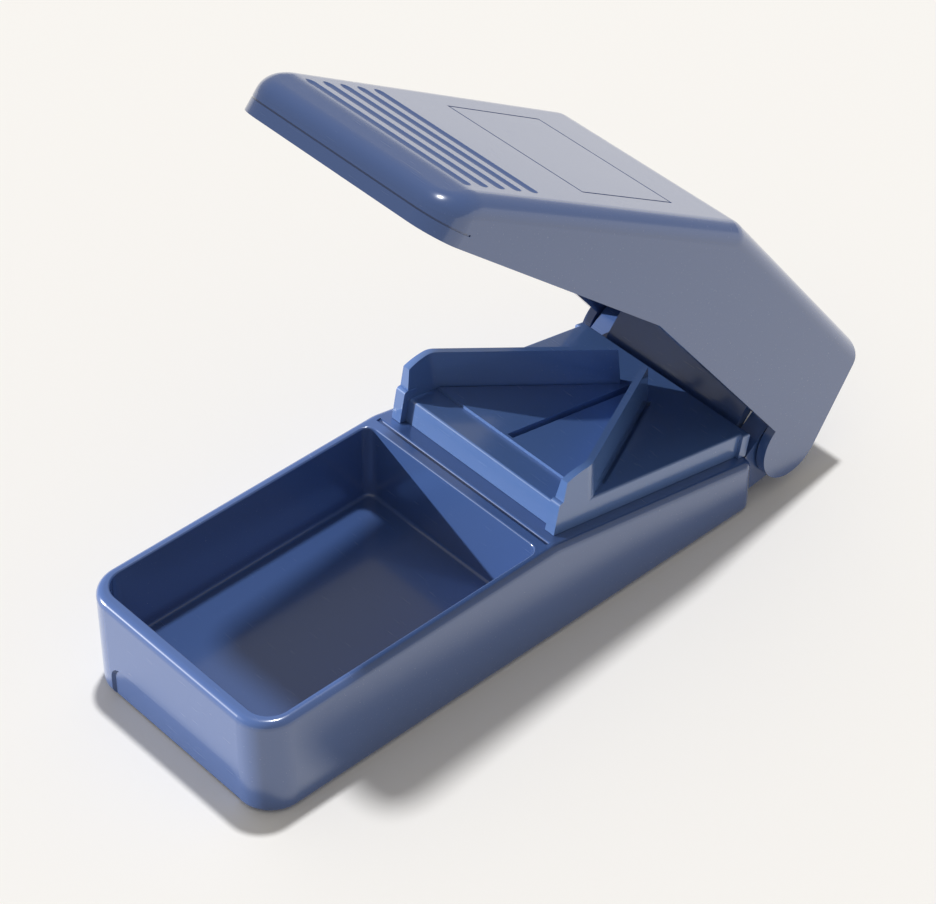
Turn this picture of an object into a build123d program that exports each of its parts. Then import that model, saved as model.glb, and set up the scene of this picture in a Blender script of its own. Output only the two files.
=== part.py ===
from build123d import *
import os
from math import cos, radians, sin, tan

# Sizes are in millimetres.
# X runs across the body, Y from the tray at the front to the hinge at the rear, Z up.
# The origin is the middle of the flat underside of the base.
# The lid and its blade are drawn closed, then swung open about the hinge.

# Body
body_width = 33.0
base_length = 79.0
rim_height = 14.5
tray_reach = 45.0  # front face to the bend where the deck starts to fall
deck_angle = 11.5
corner_radius = 4.6
rear_corner_radius = 1.5
rim_round = 1.0
rim_bend = 5.0
foot_round = 0.9

# Tray
front_wall = 1.8
side_wall = 1.4
floor_thickness = 3.3
divider_thickness = 1.5
divider_setback = 1.8
tray_front_corner = 3.0
tray_rear_corner = 1.4
tray_floor_round = 0.5
rim_inner_round = 0.25
bead_groove_radius = 0.35
grip_width = 23.6
grip_height = 5.0
grip_depth = 0.35
grip_corner = 2.2
grip_taper = 50.0

# Hollow below the deck
deck_wall = 1.8
hollow_wall = 1.6
rib_thickness = 1.2
hollow_cells = 3

# Hinge
hinge_overhang = 6.6
hinge_height = 6.8
knuckle_radius = 4.6
knuckle_width = 3.0
knuckle_neck_top = 6.2
knuckle_neck_low = 1.2
stub_radius = 2.0
stub_clearance = 0.05
stub_end_gap = 0.5
stub_chamfer = 0.4
hinge_side_gap = 0.3
open_angle = 41.5

# Pill holder
holder_width = 28.8
holder_front = 2.35
holder_rear_gap = 0.2
holder_seat_gap = 0.05
holder_height = 3.4
holder_wall = 1.3
holder_top_wall = 1.5
holder_edge_round = 0.3
tab_length = 1.3
tab_reach = 0.5
fence_foot_thickness = 1.6
fence_top_thickness = 0.85
fence_foot_bend = 6.9
fence_top_bend = 5.6
fence_height = 8.7
fence_front_height = 7.0
fence_front_rise = 6.6
fence_front_reach = 0.4
fence_bend_radius = 2.4
fence_half_angle = 28.4
fence_length = 24.3
post_thickness = 1.5
post_reach = 1.0
post_height = 4.6
post_round = 0.5
pad_height = 0.4
pad_front = 6.7
pad_gap = 0.25
relief_width = 0.5
relief_depth = 0.6
relief_start = 3.4
relief_length = 20.5
slit_width = 1.0
slit_depth = 1.1
slit_front = 7.1
slit_rear = 30.5
peg_radius = 1.5
peg_clearance = 0.05
peg_spacing = 20.6
peg_front = 5.2
peg_rear = 26.5

# Lid
lid_gap = 0.25
lid_front_wall = 1.6
lid_side_wall = 1.3
lid_roof = 1.8
lid_rear_wall = 1.6
nose_height = 20.0
nose_angle = 10.0
nose_front_height = 18.7
nose_bend_reach = 4.0
nose_bend_radius = 8.0
nose_overhang = 0.9
lid_corner_radius = 4.2
roof_height = 15.5
crease_radius = 4.0
lid_edge_round = 2.4
lid_inner_round = 1.0
lid_rear_overhang = 9.6
ear_radius = 5.0
rear_wall_rise = 0.35
notch_radius = 4.95
notch_side_gap = 0.3
cross_wall_gap = 0.8
cross_wall_thickness = 1.4
shroud_angle = 45.0
groove_count = 5
groove_first = 4.5
groove_pitch = 2.85
groove_length = 26.2
groove_width = 1.6
groove_depth = 0.26
panel_width = 22.2
panel_front = 26.4
panel_rear = 43.4
panel_line_width = 0.25
panel_line_depth = 0.1
lip_height = 1.6
lip_width = 0.2
lip_depth = 0.12
lip_reach = 5.2

# Blade and its carrier
blade_thickness = 0.4
blade_front = 7.6
blade_rear = 29.6
blade_edge_height = 3.4
blade_bevel = 1.2
blade_edge_land = 0.06
carrier_gap = 0.05
carrier_front = 6.2
carrier_rear = 31.0
carrier_width = 14.0
carrier_corner = 1.2
flange_thickness = 1.5
jaw_front = 8.6
jaw_rear = 28.6
jaw_width = 2.65
jaw_low = 9.3
pin_radius = 0.65
pin_height = 10.45
pin_front = 12.0
pin_rear = 25.2
pin_reach = 2.0
stake_radius = 1.1
stake_head_radius = 1.6
stake_head_height = 0.9
stake_spacing = 10.0
stake_front = 10.4
stake_rear = 26.8

# Values that follow from the sizes above
front_y = -base_length / 2
rear_y = base_length / 2
bend_y = front_y + tray_reach
hinge_point = (rear_y + hinge_overhang, hinge_height)
half_width = body_width / 2
inner_half_width = half_width - side_wall
slope_cos = cos(radians(deck_angle))
slope_sin = sin(radians(deck_angle))
slope = tan(radians(deck_angle))
nose_slope = tan(radians(nose_angle))
nose_cos = cos(radians(nose_angle))
deck_length = (base_length - tray_reach) / slope_cos
lid_low = rim_height + lid_gap
lid_front_y = front_y - nose_overhang
lid_rear_y = rear_y + lid_rear_overhang
lid_inner_half_width = half_width - lid_side_wall
knuckle_outer = lid_inner_half_width - hinge_side_gap
knuckle_inner = knuckle_outer - knuckle_width
cavity_height = roof_height - lid_roof

# Plane of the deck, whose second direction falls to the rear
deck = Plane(
    origin=(0, bend_y, rim_height),
    x_dir=(1, 0, 0),
    z_dir=(0, slope_sin, slope_cos),
)
# Upright plane along the deck, whose directions run to the rear and square off the deck
deck_side = Plane(origin=deck.origin, x_dir=deck.y_dir, z_dir=(1, 0, 0))
# Plane of the front half of the lid's roof
nose_plane = Plane(
    origin=(0, front_y, nose_height),
    x_dir=(1, 0, 0),
    z_dir=(0, -sin(radians(nose_angle)), nose_cos),
)
hinge_axis = Axis((0, *hinge_point), (1, 0, 0))


def deck_z(y, lift=0.0):
    """Height at y of the line that runs the given lift above the deck, square to it."""
    return rim_height - (y - bend_y) * slope + lift / slope_cos


def nose_z(y, drop=0.0):
    """Height at y of the front half of the lid's roof, or of the line a drop below it."""
    return nose_height + (y - front_y) * nose_slope - drop / nose_cos


def touch_point(centre, radius, outside, side):
    """Where the line from an outside point touches a circle, on the side given as 1 or -1."""
    dy = outside[0] - centre[0]
    dz = outside[1] - centre[1]
    reach = (dy * dy + dz * dz) ** 0.5
    along = radius * radius / reach
    across = side * radius * (1 - (radius / reach) ** 2) ** 0.5
    return (
        centre[0] + (along * dy - across * dz) / reach,
        centre[1] + (along * dz + across * dy) / reach,
    )


# Base: tray, divider, hollow deck and the two hinge knuckles
tray_front_y = front_y + front_wall
tray_rear_y = bend_y - divider_setback
hollow_front_y = tray_rear_y + divider_thickness
hollow_rear_y = rear_y - hollow_wall
cell_room = hollow_rear_y - hollow_front_y - (hollow_cells - 1) * rib_thickness
cell_length = cell_room / hollow_cells

with BuildPart() as base:
    with BuildSketch(Plane.YZ.offset(-half_width)):
        Polygon(
            (front_y, 0),
            (rear_y, 0),
            (rear_y, deck_z(rear_y)),
            (bend_y, rim_height),
            (front_y, rim_height),
            align=None,
        )
    extrude(amount=body_width)
    fillet(base.edges().filter_by(Axis.Z).group_by(Axis.Y)[0], corner_radius)
    fillet(base.edges().filter_by(Axis.Z).group_by(Axis.Y)[-1], rear_corner_radius)
    bend_edge = base.edges().filter_by(Axis.X).group_by(Axis.Z)[-1].sort_by(Axis.Y)[-1]
    fillet(bend_edge, rim_bend)
    rim_edge = base.edges().filter_by(Axis.X).group_by(Axis.Z)[-1].sort_by(Axis.Y)[0]
    fillet(rim_edge, rim_round)
    fillet(base.faces().sort_by(Axis.Z)[0].edges(), foot_round)

    # Tray
    with BuildSketch(Plane.XY.offset(floor_thickness)) as tray_mouth:
        with Locations((0, tray_front_y)):
            Rectangle(
                2 * inner_half_width,
                tray_rear_y - tray_front_y,
                align=(Align.CENTER, Align.MIN),
            )
        fillet(tray_mouth.vertices().group_by(Axis.Y)[0], tray_front_corner)
        fillet(tray_mouth.vertices().group_by(Axis.Y)[-1], tray_rear_corner)
    extrude(amount=rim_height, mode=Mode.SUBTRACT)
    tray_floor = base.faces().filter_by_position(
        Axis.Z, floor_thickness - 0.01, floor_thickness + 0.01
    )
    fillet(tray_floor.edges(), tray_floor_round)
    mouth_edges = base.edges().filter_by_position(Axis.Z, rim_height - 0.01, rim_height + 0.01)
    mouth_edges = mouth_edges.filter_by_position(Axis.X, -inner_half_width, inner_half_width)
    mouth_edges = mouth_edges.filter_by_position(Axis.Y, tray_front_y, tray_rear_y)
    fillet(mouth_edges, rim_inner_round)

    # Groove behind the rounded top of the divider
    with BuildSketch(Plane.YZ.offset(-inner_half_width)):
        with Locations((bend_y - rim_inner_round, rim_height)):
            Circle(bead_groove_radius)
    extrude(amount=2 * inner_half_width, mode=Mode.SUBTRACT)

    # Finger recess in the front face
    with BuildSketch(Plane.XZ.offset(-front_y)) as grip:
        Rectangle(grip_width, 2 * grip_height)
        fillet(grip.vertices(), grip_corner)
    extrude(amount=-grip_depth, taper=grip_taper, mode=Mode.SUBTRACT)

    # Hollow cells below the deck, open underneath
    with BuildSketch(Plane.YZ.offset(-half_width + hollow_wall)):
        for cell in range(hollow_cells):
            cell_front = hollow_front_y + cell * (cell_length + rib_thickness)
            cell_rear = cell_front + cell_length
            top_front = max(cell_front, bend_y)
            Polygon(
                (cell_front, 0),
                (cell_rear, 0),
                (cell_rear, deck_z(cell_rear, -deck_wall)),
                (top_front, deck_z(top_front, -deck_wall)),
                (cell_front, deck_z(top_front, -deck_wall)),
                align=None,
            )
    extrude(amount=body_width - 2 * hollow_wall, mode=Mode.SUBTRACT)

    # Knuckles
    neck_top = (rear_y - hollow_wall, knuckle_neck_top)
    neck_low = (rear_y - hollow_wall, knuckle_neck_low)
    for start in (knuckle_inner, -knuckle_outer):
        with BuildSketch(Plane.YZ.offset(start)):
            Polygon(
                neck_low,
                touch_point(hinge_point, knuckle_radius, neck_low, 1),
                hinge_point,
                touch_point(hinge_point, knuckle_radius, neck_top, -1),
                neck_top,
                align=None,
            )
            with Locations(hinge_point):
                Circle(knuckle_radius)
        extrude(amount=knuckle_width)
        with BuildSketch(Plane.YZ.offset(start)):
            with Locations(hinge_point):
                Circle(stub_radius + stub_clearance)
        extrude(amount=knuckle_width, mode=Mode.SUBTRACT)

    # Holes for the pill holder's pegs
    with BuildSketch(deck.offset(1)):
        for peg_s in (peg_front, peg_rear):
            with Locations((-peg_spacing / 2, peg_s), (peg_spacing / 2, peg_s)):
                Circle(peg_radius + peg_clearance)
    extrude(amount=-deck_wall - 2, mode=Mode.SUBTRACT)

# Pill holder: hollow plate, bent V fences, pad with a slit for the blade
holder_rear = deck_length - holder_rear_gap
fence_x = (holder_width - fence_foot_thickness) / 2
fence_dx = -sin(radians(fence_half_angle))
fence_ds = cos(radians(fence_half_angle))
pad_shift = fence_foot_thickness / 2 + pad_gap
pad_half = fence_x - pad_shift / fence_ds + (pad_front - fence_foot_bend) * fence_dx / fence_ds
relief_shift = (fence_foot_thickness + relief_width) / 2

with BuildPart() as pill_holder:
    with BuildSketch(deck.offset(holder_seat_gap)):
        with Locations((0, holder_front)):
            Rectangle(
                holder_width,
                holder_rear - holder_front,
                align=(Align.CENTER, Align.MIN),
            )
        with Locations((0, holder_rear)):
            Rectangle(
                holder_width + 2 * tab_reach,
                tab_length,
                align=(Align.CENTER, Align.MAX),
            )
    extrude(amount=holder_height - holder_seat_gap)

    top_face = pill_holder.faces().sort_by(Axis((0, 0, 0), deck.z_dir))[-1]
    fillet(top_face.edges(), holder_edge_round)

    # Posts and fences, which lean forward and thin out towards the top
    for side in (-1, 1):
        with BuildSketch(deck.offset(holder_seat_gap)):
            with Locations((side * holder_width / 2, holder_front - post_reach)):
                Rectangle(
                    post_thickness,
                    2 * post_reach,
                    align=(Align.MAX if side > 0 else Align.MIN, Align.MIN),
                )
        extrude(amount=post_height - holder_seat_gap)
        post_tops = pill_holder.edges().filter_by(Axis.X).sort_by(Axis.Y)[:4].sort_by(Axis.Z)
        fillet(post_tops[-1], post_round)
        fence_levels = (
            (holder_height - holder_edge_round, fence_foot_bend, fence_foot_thickness),
            (fence_height, fence_top_bend, fence_top_thickness),
        )
        for level, bend, thickness in fence_levels:
            outer_x = (holder_width - thickness) / 2
            with BuildSketch(deck.offset(level)):
                with BuildLine():
                    FilletPolyline(
                        (side * outer_x, holder_front - fence_front_reach),
                        (side * outer_x, bend),
                        (
                            side * (outer_x + fence_length * fence_dx),
                            bend + fence_length * fence_ds,
                        ),
                        radius=fence_bend_radius,
                    )
                trace(line_width=thickness)
        loft(ruled=True)

    # Pad between the fences
    with BuildSketch(deck.offset(holder_height)):
        Polygon(
            (-pad_half, pad_front),
            (pad_half, pad_front),
            (0, pad_front - pad_half * fence_ds / fence_dx),
            align=None,
        )
    extrude(amount=pad_height)

    # Rounded tops at the front ends of the fences
    cut_front = holder_front - post_reach
    with BuildSketch(deck_side.offset(-half_width)):
        with BuildLine():
            TangentArc(
                (fence_front_rise, fence_height),
                (cut_front, fence_front_height),
                tangent=(-1, 0),
            )
            Polyline(
                (cut_front, fence_front_height),
                (cut_front, fence_height + 1),
                (fence_front_rise, fence_height + 1),
                (fence_front_rise, fence_height),
            )
        make_face()
    extrude(amount=body_width, mode=Mode.SUBTRACT)

    # Relief grooves along the outer feet of the fences
    for side in (-1, 1):
        relief_ends = [
            (
                side * (fence_x + relief_shift * fence_ds + reach * fence_dx),
                fence_foot_bend - relief_shift * fence_dx + reach * fence_ds,
            )
            for reach in (relief_start, relief_start + relief_length)
        ]
        with BuildSketch(deck.offset(holder_height)):
            with BuildLine():
                Line(*relief_ends)
            trace(line_width=relief_width)
        extrude(amount=-relief_depth, mode=Mode.SUBTRACT)

    # Slit that takes the cutting edge
    with BuildSketch(deck.offset(holder_height + pad_height)):
        with Locations((0, slit_front)):
            Rectangle(slit_width, slit_rear - slit_front, align=(Align.CENTER, Align.MIN))
    extrude(amount=-slit_depth, mode=Mode.SUBTRACT)

    # Hollow underside and the four pegs
    with BuildSketch(deck.offset(holder_seat_gap)):
        with Locations((0, holder_front + holder_wall)):
            Rectangle(
                holder_width - 2 * holder_wall,
                holder_rear - holder_front - 2 * holder_wall,
                align=(Align.CENTER, Align.MIN),
            )
    extrude(amount=holder_height - holder_top_wall - holder_seat_gap, mode=Mode.SUBTRACT)
    with BuildSketch(deck.offset(holder_height - holder_top_wall)):
        for peg_s in (peg_front, peg_rear):
            with Locations((-peg_spacing / 2, peg_s), (peg_spacing / 2, peg_s)):
                Circle(peg_radius)
    extrude(amount=-(holder_height - holder_top_wall + deck_wall))

# Lid, drawn closed
rear_top = (lid_rear_y, deck_z(lid_rear_y, roof_height))
rear_touch = touch_point(hinge_point, ear_radius, rear_top, -1)
rear_lean = (rear_touch[0] - rear_top[0]) / (rear_touch[1] - rear_top[1])
rear_wall_low = deck_z(rear_y, lid_gap) + rear_wall_rise
ear_front_y = hinge_point[0] - ear_radius


def rear_face_y(z):
    """Place of the lid's sloping rear face at a given height."""
    return rear_top[0] + (z - rear_top[1]) * rear_lean


def crease_point(drop):
    """Where the two halves of the roof meet, seen from the side, a drop below the surface."""
    y = (deck_z(0, roof_height - drop) - nose_z(0, drop)) / (nose_slope + slope)
    return (y, nose_z(y, drop))


def lid_block(drop, front_inset, side_inset, rear_inset, edge_round):
    """Body of the lid, or the space inside it when a drop and insets are given."""
    bend = lid_front_y + nose_bend_reach
    low = lid_low if drop == 0 else 0
    rear_low = rear_wall_low if drop == 0 else 0
    ear_low = deck_z(ear_front_y, lid_gap) if drop == 0 else 0
    roof_rear_y = rear_face_y(rear_top[1] - drop) - rear_inset
    with BuildPart() as block:
        with BuildSketch(Plane.YZ.offset(-half_width)):
            Polygon(
                (lid_front_y, low),
                (lid_front_y, nose_front_height - drop),
                (bend, nose_z(bend, drop)),
                crease_point(drop),
                (roof_rear_y, deck_z(roof_rear_y, roof_height - drop)),
                (rear_face_y(rear_low) - rear_inset, rear_low),
                (ear_front_y, ear_low),
                (bend_y, low),
                align=None,
            )
        extrude(amount=body_width)
        fillet(block.edges().filter_by(Axis.X).group_by(Axis.Z)[-1], crease_radius)
        bend_edge = block.edges().filter_by(Axis.X).filter_by_position(
            Axis.Y, bend - 0.01, bend + 0.01
        )
        fillet(bend_edge, nose_bend_radius)
        with BuildSketch() as plan:
            with Locations((0, lid_front_y + front_inset)):
                Rectangle(
                    body_width - 2 * side_inset,
                    base_length + 2 * lid_rear_overhang,
                    align=(Align.CENTER, Align.MIN),
                )
            fillet(plan.vertices().group_by(Axis.Y)[0], lid_corner_radius - front_inset)
        extrude(amount=3 * nose_height, mode=Mode.INTERSECT)
        roof_edges = [
            edge
            for edge in block.edges().filter_by_position(Axis.Z, lid_low + 2, 3 * nose_height)
            if abs(edge.center().X) > body_width / 4
            or edge.center().Y < lid_front_y + front_inset + 0.01
            or edge.center().Y > roof_rear_y - 0.01
        ]
        fillet(roof_edges, edge_round)
    return block.part


with BuildPart() as lid_closed:
    add(lid_block(0, 0, 0, 0, lid_edge_round))
    inside = lid_block(lid_roof, lid_front_wall, lid_side_wall, lid_rear_wall, lid_inner_round)
    add(inside, mode=Mode.SUBTRACT)

    # Ears
    ear_outline = [
        (rear_y - ear_radius, deck_z(rear_y - ear_radius, lid_gap)),
        (ear_front_y + 0.1, deck_z(ear_front_y + 0.1, lid_gap)),
        hinge_point,
        rear_touch,
        (rear_face_y(lid_low), lid_low),
        (rear_y - ear_radius, lid_low),
    ]
    for start in (lid_inner_half_width, -half_width):
        with BuildSketch(Plane.YZ.offset(start)):
            Polygon(*ear_outline, align=None)
            with Locations(hinge_point):
                Circle(ear_radius)
        extrude(amount=lid_side_wall)

    # Room for the knuckles in the rear wall
    notch_width = lid_inner_half_width - knuckle_inner + notch_side_gap
    for start in (knuckle_inner - notch_side_gap, -lid_inner_half_width):
        with BuildSketch(Plane.YZ.offset(start)):
            with Locations(hinge_point):
                Circle(notch_radius)
        extrude(amount=notch_width, mode=Mode.SUBTRACT)

    # Wall across the cavity in front of the knuckles
    cross_y = rear_y + cross_wall_gap
    cross_half = knuckle_inner - notch_side_gap
    with BuildSketch(Plane.YZ.offset(-cross_half)):
        Polygon(
            (cross_y, hinge_height),
            (cross_y + cross_wall_thickness, hinge_height),
            (cross_y + cross_wall_thickness, deck_z(cross_y, cavity_height + 0.5)),
            (cross_y, deck_z(cross_y, cavity_height + 0.5)),
            align=None,
        )
    extrude(amount=2 * cross_half)

    # Round shroud that closes the gap below that wall as the lid turns
    shroud_radius = hinge_point[0] - cross_y
    shroud_drop = (shroud_radius + 1) * tan(radians(shroud_angle))
    with BuildSketch(Plane.YZ.offset(-cross_half)):
        with Locations(hinge_point):
            Circle(shroud_radius)
            Circle(shroud_radius - cross_wall_thickness, mode=Mode.SUBTRACT)
        Polygon(
            hinge_point,
            (cross_y - 1, hinge_height),
            (cross_y - 1, hinge_height - shroud_drop),
            align=None,
            mode=Mode.INTERSECT,
        )
    extrude(amount=2 * cross_half)

    # Pivot stubs
    for side in (-1, 1):
        with BuildSketch(Plane.YZ.offset(side * (lid_inner_half_width + 0.5))):
            with Locations(hinge_point):
                Circle(stub_radius)
        stub_length = lid_inner_half_width + 0.5 - knuckle_inner - stub_end_gap
        extrude(amount=-side * stub_length)
    tip_x = knuckle_inner + stub_end_gap
    tips = [
        edge
        for edge in lid_closed.edges().filter_by(GeomType.CIRCLE)
        if abs(abs(edge.arc_center.X) - tip_x) < 0.01
    ]
    chamfer(tips, stub_chamfer)

    # Posts staked through the blade carrier
    flange_low = cavity_height - carrier_gap - flange_thickness
    with BuildSketch(deck.offset(flange_low - carrier_gap)):
        for stake_s in (stake_front, stake_rear):
            with Locations((-stake_spacing / 2, stake_s), (stake_spacing / 2, stake_s)):
                Circle(stake_radius)
    extrude(amount=cavity_height - flange_low + 2 * carrier_gap + 0.3)
    with BuildSketch(deck.offset(flange_low - carrier_gap)):
        for stake_s in (stake_front, stake_rear):
            with Locations((-stake_spacing / 2, stake_s), (stake_spacing / 2, stake_s)):
                Circle(stake_head_radius)
    extrude(amount=-stake_head_height)

    # Finger grooves: round channels with round ends
    groove_radius = (groove_width**2 / 4 + groove_depth**2) / (2 * groove_depth)
    groove_straight = groove_length - groove_width
    groove_middles = [
        nose_plane.from_local_coords((0, groove_first + index * groove_pitch, groove_radius - groove_depth))
        for index in range(groove_count)
    ]
    with BuildSketch(Plane.YZ.offset(-groove_straight / 2)):
        for middle in groove_middles:
            with Locations((middle.Y, middle.Z)):
                Circle(groove_radius)
    extrude(amount=groove_straight, mode=Mode.SUBTRACT)
    for middle in groove_middles:
        with Locations(
            (-groove_straight / 2, middle.Y, middle.Z),
            (groove_straight / 2, middle.Y, middle.Z),
        ):
            Sphere(groove_radius, mode=Mode.SUBTRACT)

    # Etched panel outline and the line along the lip
    with BuildSketch(nose_plane):
        with Locations((0, (panel_front + panel_rear) / 2)):
            Rectangle(panel_width, panel_rear - panel_front)
            Rectangle(
                panel_width - 2 * panel_line_width,
                panel_rear - panel_front - 2 * panel_line_width,
                mode=Mode.SUBTRACT,
            )
    extrude(amount=-panel_line_depth, mode=Mode.SUBTRACT)
    with BuildSketch(Plane.XY.offset(lid_low + lip_height)):
        with BuildLine():
            FilletPolyline(
                (-half_width, lid_front_y + lip_reach),
                (-half_width, lid_front_y),
                (half_width, lid_front_y),
                (half_width, lid_front_y + lip_reach),
                radius=lid_corner_radius,
            )
        trace(line_width=2 * lip_depth)
    extrude(amount=lip_width, mode=Mode.SUBTRACT)

# Blade carrier: flange against the roof with one jaw for the blade
jaw_face = blade_thickness / 2 + carrier_gap
jaw_top = flange_low - carrier_gap

with BuildPart() as carrier_closed:
    with BuildSketch(deck.offset(flange_low)) as flange:
        with Locations((0, carrier_front)):
            Rectangle(
                carrier_width,
                carrier_rear - carrier_front,
                align=(Align.CENTER, Align.MIN),
            )
        fillet(flange.vertices(), carrier_corner)
        for stake_s in (stake_front, stake_rear):
            with Locations((-stake_spacing / 2, stake_s), (stake_spacing / 2, stake_s)):
                Circle(stake_radius + carrier_gap, mode=Mode.SUBTRACT)
    extrude(amount=flange_thickness)
    with BuildSketch(deck.offset(flange_low)):
        with Locations((-jaw_face, jaw_front)):
            Rectangle(jaw_width, jaw_rear - jaw_front, align=(Align.MAX, Align.MIN))
    extrude(amount=jaw_low - flange_low)
    with BuildSketch(Plane.YZ.offset(-jaw_face - jaw_width)):
        for pin_s in (pin_front, pin_rear):
            pin_place = deck.from_local_coords((0, pin_s, pin_height))
            with Locations((pin_place.Y, pin_place.Z)):
                Circle(pin_radius + carrier_gap)
    extrude(amount=jaw_width, mode=Mode.SUBTRACT)

# Clamp: the other jaw, with pins that pass through the blade
with BuildPart() as clamp_closed:
    with BuildSketch(deck.offset(jaw_low)):
        with Locations((jaw_face, jaw_front)):
            Rectangle(jaw_width, jaw_rear - jaw_front, align=(Align.MIN, Align.MIN))
    extrude(amount=jaw_top - jaw_low)
    with BuildSketch(Plane.YZ.offset(-jaw_face - pin_reach)):
        for pin_s in (pin_front, pin_rear):
            pin_place = deck.from_local_coords((0, pin_s, pin_height))
            with Locations((pin_place.Y, pin_place.Z)):
                Circle(pin_radius)
    extrude(amount=2 * jaw_face + pin_reach)

# Blade: its section is drawn across the deck and runs to the rear
blade_plane = Plane(
    origin=deck.from_local_coords((0, blade_front, 0)),
    x_dir=(1, 0, 0),
    z_dir=-deck.y_dir,
)
with BuildPart() as blade_closed:
    with BuildSketch(blade_plane):
        Polygon(
            (-blade_edge_land / 2, blade_edge_height),
            (blade_edge_land / 2, blade_edge_height),
            (blade_thickness / 2, blade_edge_height + blade_bevel),
            (blade_thickness / 2, jaw_top),
            (-blade_thickness / 2, jaw_top),
            (-blade_thickness / 2, blade_edge_height + blade_bevel),
            align=None,
        )
    extrude(amount=blade_front - blade_rear)
    with BuildSketch(Plane.YZ.offset(-blade_thickness)):
        for pin_s in (pin_front, pin_rear):
            pin_place = deck.from_local_coords((0, pin_s, pin_height))
            with Locations((pin_place.Y, pin_place.Z)):
                Circle(pin_radius + carrier_gap)
    extrude(amount=2 * blade_thickness, mode=Mode.SUBTRACT)


def swung_open(closed):
    """The piece turned with the lid into its open place."""
    with BuildPart() as opened:
        add(closed.part.rotate(hinge_axis, -open_angle))
    return opened


lid = swung_open(lid_closed)
blade_holder = swung_open(carrier_closed)
blade_clamp = swung_open(clamp_closed)
blade = swung_open(blade_closed)

# Labels and files
os.makedirs("parts", exist_ok=True)
base.part.label = "base"
export_step(base.part, "parts/base.step")
pill_holder.part.label = "pill_holder"
export_step(pill_holder.part, "parts/pill_holder.step")
lid.part.label = "lid"
export_step(lid.part, "parts/lid.step")
blade_holder.part.label = "blade_holder"
export_step(blade_holder.part, "parts/blade_holder.step")
blade_clamp.part.label = "blade_clamp"
export_step(blade_clamp.part, "parts/blade_clamp.step")
blade.part.label = "blade"
export_step(blade.part, "parts/blade.step")
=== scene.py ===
"""A pocket pill splitter of moulded blue plastic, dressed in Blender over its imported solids."""

import math

import bpy
from bpy.props import FloatProperty, FloatVectorProperty, PointerProperty
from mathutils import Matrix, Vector

bl_info = {
    "name": "Pill splitter",
    "version": (1, 0, 0),
    "blender": (4, 5, 0),
    "location": "View3D > Sidebar > Pill splitter",
    "description": "Finishes and studio for a pocket pill splitter",
    "category": "Object",
}

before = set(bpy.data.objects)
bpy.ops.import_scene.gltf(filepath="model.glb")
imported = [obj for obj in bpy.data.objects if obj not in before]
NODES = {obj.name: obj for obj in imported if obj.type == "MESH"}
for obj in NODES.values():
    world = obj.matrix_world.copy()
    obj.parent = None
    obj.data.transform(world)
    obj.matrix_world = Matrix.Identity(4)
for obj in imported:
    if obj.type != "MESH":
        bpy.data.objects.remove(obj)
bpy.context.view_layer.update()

# Camera, fitted to the photograph: sizes in metres, angles in degrees
FRAME_WIDTH = 936
CAMERA_AZIMUTH = 47.567
CAMERA_ELEVATION = 41.624
CAMERA_TARGET = (-0.011069, 0.016460, 0.005)
CAMERA_DISTANCE = 0.40004
CAMERA_REACH = (0.01, 20.0)
FOCAL_PIXELS = 3186.4
SENSOR_WIDTH = 36.0

# High lamp, placed by the shadow of the lid on the floor
HIGH_AZIMUTH = -150.0
HIGH_ELEVATION = 76.0
HIGH_SPREAD = 4.0
HIGH_COLOUR = (0.957, 0.973, 1.0)

# Low lamp in front on the left, placed by the slanting shadow on the divider
LOW_AZIMUTH = -50.0
LOW_ELEVATION = 18.9
LOW_SPREAD = 1.5
LOW_COLOUR = (1.0, 1.0, 1.0)
LOW_LIT_NODES = ("base", "pill_holder")

# Floor
FLOOR_HALF = 3.0
FLOOR_DROP = 0.00002
FLOOR_ROUGHNESS = 0.9
FLOOR_SHINE = 0.1

# Moulded plastic
PLASTIC_IOR = 1.56
COAT_WEIGHT = 0.8
COAT_ROUGHNESS = 0.12
BUMP_STRENGTH = 0.25
BUMP_DISTANCE = 0.00004
CARRIER_EXTRA_ROUGHNESS = 0.1
BASE_SCUFFS = 0.5
LID_SCUFFS = 0.6
HOLDER_SCUFFS = 0.5
CARRIER_SCUFFS = 0.3

# Marks of use on the plastic: noise scales are in waves per metre
WAVE_SCALE = 160.0
WAVE_DETAIL = 2.0
SCRATCH_TURN = (0.4, 0.3, 0.9)
SCRATCH_SCALES = (260.0, 5200.0, 5200.0)
SCRATCH_DETAIL = 3.0
SCRATCH_LEVELS = (0.66, 0.78)
PATCH_SCALE = 45.0
PATCH_DETAIL = 4.0
PATCH_ROUGHNESS = 0.08
SCRATCH_ROUGHNESS = 0.16
SCRATCH_FADE = 0.06
SCRATCH_COLOUR = (0.6, 0.66, 0.8, 1.0)
SCRATCH_HEIGHT = -0.15

# Ground steel of the blade
GRIND_SCALES = (4000.0, 4000.0, 120.0)
GRIND_ROUGHNESS = (0.2, 0.42)
GRIND_DARK = (0.5, 0.51, 0.53, 1.0)
GRIND_LIGHT = (0.72, 0.73, 0.75, 1.0)


def linear(red, green, blue):
    """A linear colour from the 0 to 255 values of a screen colour."""
    return tuple(
        value / 12.92 if value <= 0.04045 else ((value + 0.055) / 1.055) ** 2.4
        for value in (red / 255, green / 255, blue / 255)
    )


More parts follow.
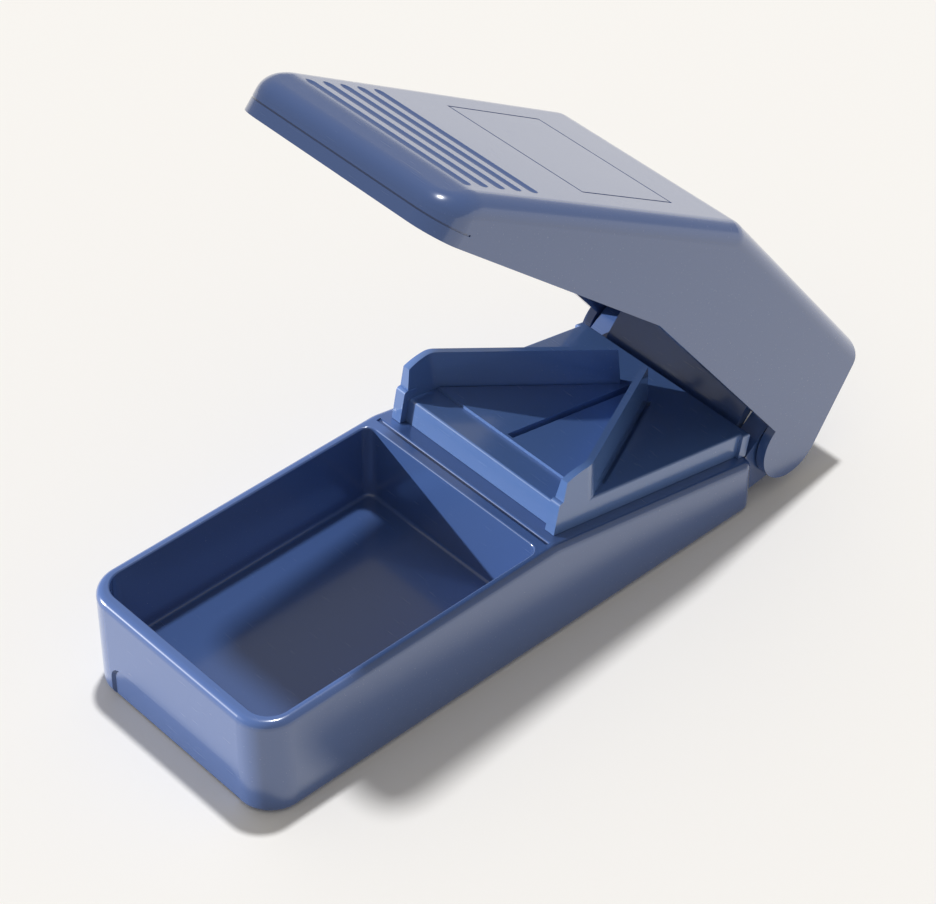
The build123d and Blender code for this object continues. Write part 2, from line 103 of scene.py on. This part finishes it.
class PlasticSettings(bpy.types.PropertyGroup):
    """Colours and gloss of the moulded pieces."""

    body_colour: FloatVectorProperty(
        name="Body colour",
        description="Colour of the tray and the lid",
        subtype="COLOR",
        size=3,
        min=0.0,
        max=1.0,
        default=linear(66, 92, 144),
    )
    holder_colour: FloatVectorProperty(
        name="Holder colour",
        description="Colour of the pill holder",
        subtype="COLOR",
        size=3,
        min=0.0,
        max=1.0,
        default=linear(84, 114, 168),
    )
    roughness: FloatProperty(
        name="Roughness",
        description="Roughness of the moulded surface",
        default=0.2,
        min=0.0,
        max=1.0,
    )


class StudioSettings(bpy.types.PropertyGroup):
    """Floor and lamps."""

    floor_colour: FloatVectorProperty(
        name="Floor colour",
        description="Colour of the floor and of the light around the object",
        subtype="COLOR",
        size=3,
        min=0.0,
        max=1.0,
        default=linear(249, 246, 241),
    )
    high_strength: FloatProperty(
        name="High lamp",
        description="Strength of the high lamp behind the object",
        default=2.1,
        min=0.0,
    )
    low_strength: FloatProperty(
        name="Low lamp",
        description="Strength of the low lamp in front on the left",
        default=5.0,
        min=0.0,
    )
    sky_strength: FloatProperty(
        name="Sky",
        description="Strength of the even light around the object",
        default=0.4,
        min=0.0,
    )


def new_group(name, inputs, outputs):
    """Shader node group with (socket type, name, default) inputs and (type, name) outputs."""
    group = bpy.data.node_groups.new(name, "ShaderNodeTree")
    for kind, label, value in inputs:
        socket = group.interface.new_socket(name=label, in_out="INPUT", socket_type=kind)
        socket.default_value = value
    for kind, label in outputs:
        group.interface.new_socket(name=label, in_out="OUTPUT", socket_type=kind)
    return group, group.nodes.new("NodeGroupInput"), group.nodes.new("NodeGroupOutput")


def noise(tree, vector, scale, detail):
    """Noise texture of the given scale over a vector output."""
    texture = tree.nodes.new("ShaderNodeTexNoise")
    texture.inputs["Scale"].default_value = scale
    texture.inputs["Detail"].default_value = detail
    tree.links.new(vector, texture.inputs["Vector"])
    return texture.outputs["Fac"]


def multiply_add(tree, value, factor, addend):
    """Output of value times a fixed factor plus another output."""
    node = tree.nodes.new("ShaderNodeMath")
    node.operation = "MULTIPLY_ADD"
    tree.links.new(value, node.inputs[0])
    node.inputs[1].default_value = factor
    tree.links.new(addend, node.inputs[2])
    return node.outputs["Value"]


def moulded_group():
    """Fine waviness, uneven gloss and micro-scratches of a moulded surface."""
    name = "Moulded surface"
    if name in bpy.data.node_groups:
        return bpy.data.node_groups[name]
    group, source, sink = new_group(
        name,
        (
            ("NodeSocketColor", "Colour", (0.1, 0.2, 0.5, 1.0)),
            ("NodeSocketFloat", "Roughness", 0.2),
            ("NodeSocketFloat", "Scuffs", 0.5),
        ),
        (
            ("NodeSocketColor", "Colour"),
            ("NodeSocketFloat", "Roughness"),
            ("NodeSocketFloat", "Height"),
        ),
    )
    nodes, links = group.nodes, group.links
    place = nodes.new("ShaderNodeTexCoord").outputs["Object"]
    waves = noise(group, place, WAVE_SCALE, WAVE_DETAIL)
    patches = noise(group, place, PATCH_SCALE, PATCH_DETAIL)

    stretch = nodes.new("ShaderNodeMapping")
    stretch.inputs["Rotation"].default_value = SCRATCH_TURN
    stretch.inputs["Scale"].default_value = SCRATCH_SCALES
    links.new(place, stretch.inputs["Vector"])
    scratches = noise(group, stretch.outputs["Vector"], 1.0, SCRATCH_DETAIL)
    mask = nodes.new("ShaderNodeMapRange")
    mask.inputs["From Min"].default_value, mask.inputs["From Max"].default_value = SCRATCH_LEVELS
    links.new(scratches, mask.inputs["Value"])
    scuffs = nodes.new("ShaderNodeMath")
    scuffs.operation = "MULTIPLY"
    links.new(mask.outputs["Result"], scuffs.inputs[0])
    links.new(source.outputs["Scuffs"], scuffs.inputs[1])
    scuffed = scuffs.outputs["Value"]

    gloss = multiply_add(group, patches, PATCH_ROUGHNESS, source.outputs["Roughness"])
    rough = multiply_add(group, scuffed, SCRATCH_ROUGHNESS, gloss)
    links.new(rough, sink.inputs["Roughness"])

    fade = nodes.new("ShaderNodeMath")
    fade.operation = "MULTIPLY"
    links.new(scuffed, fade.inputs[0])
    fade.inputs[1].default_value = SCRATCH_FADE
    tint = nodes.new("ShaderNodeMix")
    tint.data_type = "RGBA"
    links.new(fade.outputs["Value"], tint.inputs["Factor"])
    links.new(source.outputs["Colour"], tint.inputs["A"])
    tint.inputs["B"].default_value = SCRATCH_COLOUR
    links.new(tint.outputs["Result"], sink.inputs["Colour"])

    links.new(multiply_add(group, scuffed, SCRATCH_HEIGHT, waves), sink.inputs["Height"])
    return group


def new_material(name):
    """Material with its Principled BSDF."""
    material = bpy.data.materials.new(name)
    material.use_nodes = True
    return material, material.node_tree.nodes["Principled BSDF"]


def plastic(name, colour, roughness, scuffs):
    """Glossy moulded plastic of one colour."""
    material, shader = new_material(name)
    nodes, links = material.node_tree.nodes, material.node_tree.links
    shader.inputs["IOR"].default_value = PLASTIC_IOR
    shader.inputs["Coat Weight"].default_value = COAT_WEIGHT
    shader.inputs["Coat Roughness"].default_value = COAT_ROUGHNESS
    shader.inputs["Coat IOR"].default_value = PLASTIC_IOR
    surface = nodes.new("ShaderNodeGroup")
    surface.node_tree = moulded_group()
    surface.inputs["Colour"].default_value = (*colour, 1.0)
    surface.inputs["Roughness"].default_value = roughness
    surface.inputs["Scuffs"].default_value = scuffs
    links.new(surface.outputs["Colour"], shader.inputs["Base Color"])
    links.new(surface.outputs["Roughness"], shader.inputs["Roughness"])
    bump = nodes.new("ShaderNodeBump")
    bump.inputs["Strength"].default_value = BUMP_STRENGTH
    bump.inputs["Distance"].default_value = BUMP_DISTANCE
    links.new(surface.outputs["Height"], bump.inputs["Height"])
    links.new(bump.outputs["Normal"], shader.inputs["Normal"])
    return material


def ground_steel(name):
    """Stainless steel with fine grinding lines."""
    material, shader = new_material(name)
    tree = material.node_tree
    nodes, links = tree.nodes, tree.links
    shader.inputs["Metallic"].default_value = 1.0
    place = nodes.new("ShaderNodeTexCoord")
    stretch = nodes.new("ShaderNodeMapping")
    stretch.inputs["Scale"].default_value = GRIND_SCALES
    links.new(place.outputs["Object"], stretch.inputs["Vector"])
    lines = noise(tree, stretch.outputs["Vector"], 1.0, 2.0)
    rough = nodes.new("ShaderNodeMapRange")
    rough.inputs["To Min"].default_value, rough.inputs["To Max"].default_value = GRIND_ROUGHNESS
    links.new(lines, rough.inputs["Value"])
    links.new(rough.outputs["Result"], shader.inputs["Roughness"])
    shade = nodes.new("ShaderNodeMix")
    shade.data_type = "RGBA"
    shade.inputs["A"].default_value = GRIND_DARK
    shade.inputs["B"].default_value = GRIND_LIGHT
    links.new(lines, shade.inputs["Factor"])
    links.new(shade.outputs["Result"], shader.inputs["Base Color"])
    return material


def paint(node, material):
    """Puts one material in every slot of a node's mesh."""
    materials = NODES[node].data.materials
    for index in range(len(materials)):
        materials[index] = material


class SPLITTER_OT_body(bpy.types.Operator):
    """Finish the base and the lid in glossy blue plastic"""

    bl_idname = "splitter.body"
    bl_label = "Base and lid"

    def execute(self, context):
        look = context.scene.splitter_plastic
        paint("base", plastic("Base plastic", look.body_colour, look.roughness, BASE_SCUFFS))
        paint("lid", plastic("Lid plastic", look.body_colour, look.roughness, LID_SCUFFS))
        return {"FINISHED"}


class SPLITTER_OT_holder(bpy.types.Operator):
    """Finish the pill holder in its lighter blue plastic"""

    bl_idname = "splitter.holder"
    bl_label = "Pill holder"

    def execute(self, context):
        look = context.scene.splitter_plastic
        material = plastic("Holder plastic", look.holder_colour, look.roughness, HOLDER_SCUFFS)
        paint("pill_holder", material)
        return {"FINISHED"}


class SPLITTER_OT_blade(bpy.types.Operator):
    """Finish the blade in ground steel and its carrier in duller plastic"""

    bl_idname = "splitter.blade"
    bl_label = "Blade and carrier"

    def execute(self, context):
        look = context.scene.splitter_plastic
        roughness = look.roughness + CARRIER_EXTRA_ROUGHNESS
        carrier = plastic("Carrier plastic", look.body_colour, roughness, CARRIER_SCUFFS)
        paint("blade_holder", carrier)
        paint("blade_clamp", carrier)
        paint("blade", ground_steel("Blade steel"))
        return {"FINISHED"}


def direction(azimuth, elevation):
    """Unit vector towards a place round the object; azimuth 0 is in front, at -Y."""
    a, e = math.radians(azimuth), math.radians(elevation)
    return Vector((math.sin(a) * math.cos(e), -math.cos(a) * math.cos(e), math.sin(e)))


def aim(holder, toward, distance, target=(0.0, 0.0, 0.0)):
    """Puts a lamp or camera at a distance from the target and turns it to look back at it."""
    holder.location = Vector(target) + toward * distance
    holder.rotation_mode = "QUATERNION"
    holder.rotation_quaternion = (-toward).to_track_quat("-Z", "Y")
    bpy.context.scene.collection.objects.link(holder)


def add_lamp(name, azimuth, elevation, strength, spread, colour):
    """A far lamp that lights the object from the given side."""
    lamp = bpy.data.lights.new(name, "SUN")
    lamp.energy = strength
    lamp.angle = math.radians(spread)
    lamp.color = colour
    holder = bpy.data.objects.new(name, lamp)
    aim(holder, direction(azimuth, elevation), 1.0)
    return holder


def add_floor(colour):
    """Plain matt floor just under the object."""
    mesh = bpy.data.meshes.new("Floor")
    corners = [(x * FLOOR_HALF, y * FLOOR_HALF, 0) for x, y in ((-1, -1), (1, -1), (1, 1), (-1, 1))]
    mesh.from_pydata(corners, [], [(0, 1, 2, 3)])
    material, shader = new_material("Floor paint")
    shader.inputs["Base Color"].default_value = (*colour, 1.0)
    shader.inputs["Roughness"].default_value = FLOOR_ROUGHNESS
    shader.inputs["Specular IOR Level"].default_value = FLOOR_SHINE
    mesh.materials.append(material)
    floor = bpy.data.objects.new("Floor", mesh)
    floor.location.z = -FLOOR_DROP
    bpy.context.scene.collection.objects.link(floor)


def add_camera():
    """Camera at the photograph's place, with its lens."""
    lens = bpy.data.cameras.new("Camera")
    lens.sensor_width = SENSOR_WIDTH
    lens.lens = FOCAL_PIXELS / FRAME_WIDTH * SENSOR_WIDTH
    lens.clip_start, lens.clip_end = CAMERA_REACH
    camera = bpy.data.objects.new("Camera", lens)
    aim(camera, direction(CAMERA_AZIMUTH, CAMERA_ELEVATION), CAMERA_DISTANCE, CAMERA_TARGET)
    bpy.context.scene.camera = camera


class SPLITTER_OT_studio(bpy.types.Operator):
    """Set up the floor, the lamps and the camera"""

    bl_idname = "splitter.studio"
    bl_label = "Studio"

    def execute(self, context):
        scene = context.scene
        studio = scene.splitter_studio
        scene.view_settings.view_transform = "Standard"
        add_floor(studio.floor_colour)

        world = bpy.data.worlds.new("Room")
        world.use_nodes = True
        background = world.node_tree.nodes["Background"]
        background.inputs["Color"].default_value = (*studio.floor_colour, 1.0)
        background.inputs["Strength"].default_value = studio.sky_strength
        scene.world = world

        add_lamp(
            "High lamp", HIGH_AZIMUTH, HIGH_ELEVATION, studio.high_strength, HIGH_SPREAD, HIGH_COLOUR
        )
        low = add_lamp(
            "Low lamp", LOW_AZIMUTH, LOW_ELEVATION, studio.low_strength, LOW_SPREAD, LOW_COLOUR
        )
        lit = bpy.data.collections.new("Lit by the low lamp")
        for node in LOW_LIT_NODES:
            lit.objects.link(NODES[node])
        low.light_linking.receiver_collection = lit
        add_camera()
        return {"FINISHED"}


class SPLITTER_PT_panel(bpy.types.Panel):
    """Sidebar panel with the splitter's settings and pieces"""

    bl_label = "Pill splitter"
    bl_idname = "SPLITTER_PT_panel"
    bl_space_type = "VIEW_3D"
    bl_region_type = "UI"
    bl_category = "Pill splitter"

    def draw(self, context):
        for group in (context.scene.splitter_plastic, context.scene.splitter_studio):
            column = self.layout.column()
            for name in type(group).__annotations__:
                column.prop(group, name)
        for operator in OPERATORS:
            self.layout.operator(operator.bl_idname)


OPERATORS = (SPLITTER_OT_body, SPLITTER_OT_holder, SPLITTER_OT_blade, SPLITTER_OT_studio)
CLASSES = (PlasticSettings, StudioSettings, *OPERATORS, SPLITTER_PT_panel)


def register():
    """Adds the classes and the scene's settings."""
    for cls in CLASSES:
        bpy.utils.register_class(cls)
    bpy.types.Scene.splitter_plastic = PointerProperty(type=PlasticSettings)
    bpy.types.Scene.splitter_studio = PointerProperty(type=StudioSettings)


def unregister():
    """Takes them away again."""
    del bpy.types.Scene.splitter_studio
    del bpy.types.Scene.splitter_plastic
    for cls in reversed(CLASSES):
        bpy.utils.unregister_class(cls)


def main():
    """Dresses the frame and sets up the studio."""
    register()
    bpy.ops.splitter.body()
    bpy.ops.splitter.holder()
    bpy.ops.splitter.blade()
    bpy.ops.splitter.studio()


if __name__ == "__main__":
    main()
